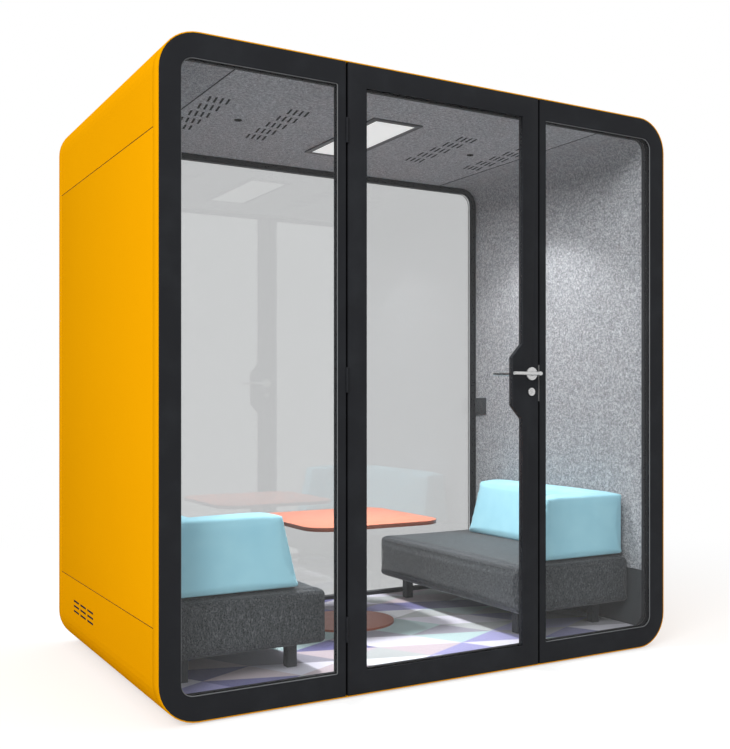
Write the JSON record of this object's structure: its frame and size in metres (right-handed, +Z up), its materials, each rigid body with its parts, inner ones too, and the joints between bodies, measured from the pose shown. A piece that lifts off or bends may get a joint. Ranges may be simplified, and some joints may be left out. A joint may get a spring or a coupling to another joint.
{
  "type": "office booth",
  "caption": "Free-standing glazed meeting booth with rounded steel shell, hinged glass door, ceiling light, fans, facing upholstered benches and a table.",
  "frame": {"origin": "on the floor, under the centre of the whole booth's box, which includes the outer lever", "axes": "+X to the right seen from the front, +Z up, and the glazed front with the door faces -Y"},
  "size_m": [2.25, 1.511, 2.3],
  "materials": {
    "yellow_steel": "smooth satin powder coat",
    "black_frame": "matte black powder coat over extruded aluminium",
    "clear_glass": "clear laminated glass",
    "grey_felt": "pressed mottled felt",
    "dark_laminate": "fine matte laminate",
    "dark_metal": "matte powder coat",
    "carpet": "cut pile in a patchwork of muted colours",
    "board": "raw board",
    "mineral_wool": "loose fibre",
    "white_diffuser": "opal",
    "satin_steel": "satin",
    "black_rubber": "matte",
    "grey_fabric": "heathered upholstery",
    "blue_fabric": "smooth upholstery",
    "orange_laminate": "semi-gloss laminate",
    "orange_paint": "satin powder coat",
    "black_plastic": "fine texture"
  },
  "bodies": {
    "booth": {"front_hoop": "yellow_steel", "rear_hoop": "yellow_steel", "base_shell": "yellow_steel", "roof_shell": "yellow_steel", "left_side_panel": "yellow_steel", "right_side_panel": "yellow_steel", "levelling_foot_1": "satin_steel", "levelling_foot_2": "satin_steel", "levelling_foot_3": "satin_steel", "levelling_foot_4": "satin_steel", "floor_core": "board", "carpet": "carpet", "front_portal": "black_frame", "door_seal": "black_rubber", "left_front_frame": "black_frame", "left_front_glass": "clear_glass", "right_front_frame": "black_frame", "right_front_glass": "clear_glass", "rear_frame": "black_frame", "rear_glass": "clear_glass", "lower_hinge_post_leaf": "black_frame", "middle_hinge_post_leaf": "black_frame", "upper_hinge_post_leaf": "black_frame", "strike_plate": "satin_steel", "ceiling_panel": "grey_felt", "light_tray": "dark_metal", "light_diffuser": "white_diffuser", "acoustic_wrap": "mineral_wool", "left_wall_felt": "grey_felt", "right_wall_felt": "grey_felt", "left_skirting": "dark_laminate", "right_skirting": "dark_laminate", "left_fan_housing": "black_plastic", "right_fan_housing": "black_plastic", "control_plate": "black_plastic", "left_seat": "grey_fabric", "right_seat": "grey_fabric", "left_seat_back": "blue_fabric", "right_seat_back": "blue_fabric", "left_seat_legs": "dark_metal", "right_seat_legs": "dark_metal", "table_top": "orange_laminate", "table_pedestal": "orange_paint"},
    "door": {"door_frame": "black_frame", "door_glass": "clear_glass", "outer_rose": "satin_steel", "inner_rose": "satin_steel", "key_rose": "satin_steel", "lower_hinge_door_leaf": "black_frame", "middle_hinge_door_leaf": "black_frame", "upper_hinge_door_leaf": "black_frame"},
    "handle": {"outer_lever": "satin_steel", "inner_lever": "satin_steel"},
    "latch": {"latch_bolt": "satin_steel"},
    "key_plug": {"lock_cylinder": "satin_steel"},
    "night_bolt": {"dead_bolt": "satin_steel"},
    "left_rotor": {"left_fan_impeller": "black_plastic"},
    "right_rotor": {"right_fan_impeller": "black_plastic"},
    "light_key": {"light_button": "black_plastic"},
    "fan_key": {"fan_button": "black_plastic"}
  },
  "joints": [
    {"name": "door_swing", "type": "hinge", "parent": "booth", "child": "door", "pos_m": [-0.435, -0.6965, 1.15], "axis": [0, 0, -1], "range_deg": [0, 100]},
    {"name": "lever_turn", "type": "hinge", "parent": "door", "child": "handle", "pos_m": [0.395, -0.6745, 1.1835], "axis": [0, -1, 0], "range_deg": [0, 40], "stiffness_Nm_per_rad": 1.5, "springref_deg": -34.38},
    {"name": "latch_slide", "type": "slide", "parent": "door", "child": "latch", "axis": [-1, 0, 0], "range_m": [0, 0.017]},
    {"name": "key_turn", "type": "hinge", "parent": "door", "child": "key_plug", "pos_m": [0.395, -0.6745, 1.1107], "axis": [0, 1, 0], "range_deg": [0, 90]},
    {"name": "bolt_slide", "type": "slide", "parent": "door", "child": "night_bolt", "axis": [1, 0, 0], "range_m": [0, 0.018]},
    {"name": "left_fan_spin", "type": "hinge", "parent": "booth", "child": "left_rotor", "pos_m": [-0.406, 0.0115, 2.262], "axis": [0, 0, 1], "continuous": true},
    {"name": "right_fan_spin", "type": "hinge", "parent": "booth", "child": "right_rotor", "pos_m": [0.406, 0.0115, 2.262], "axis": [0, 0, 1], "continuous": true},
    {"name": "light_press", "type": "slide", "parent": "booth", "child": "light_key", "axis": [1, 0, 0], "range_m": [0, 0.002], "stiffness_N_per_m": 400, "springref_m": -0.002},
    {"name": "fan_press", "type": "slide", "parent": "booth", "child": "fan_key", "axis": [1, 0, 0], "range_m": [0, 0.002], "stiffness_N_per_m": 400, "springref_m": -0.002}
  ],
  "couplings": [
    {"joint": "latch_slide", "follows": "lever_turn", "m_per_rad": 0.0243},
    {"joint": "bolt_slide", "follows": "key_turn", "m_per_rad": 0.0114}
  ]
}
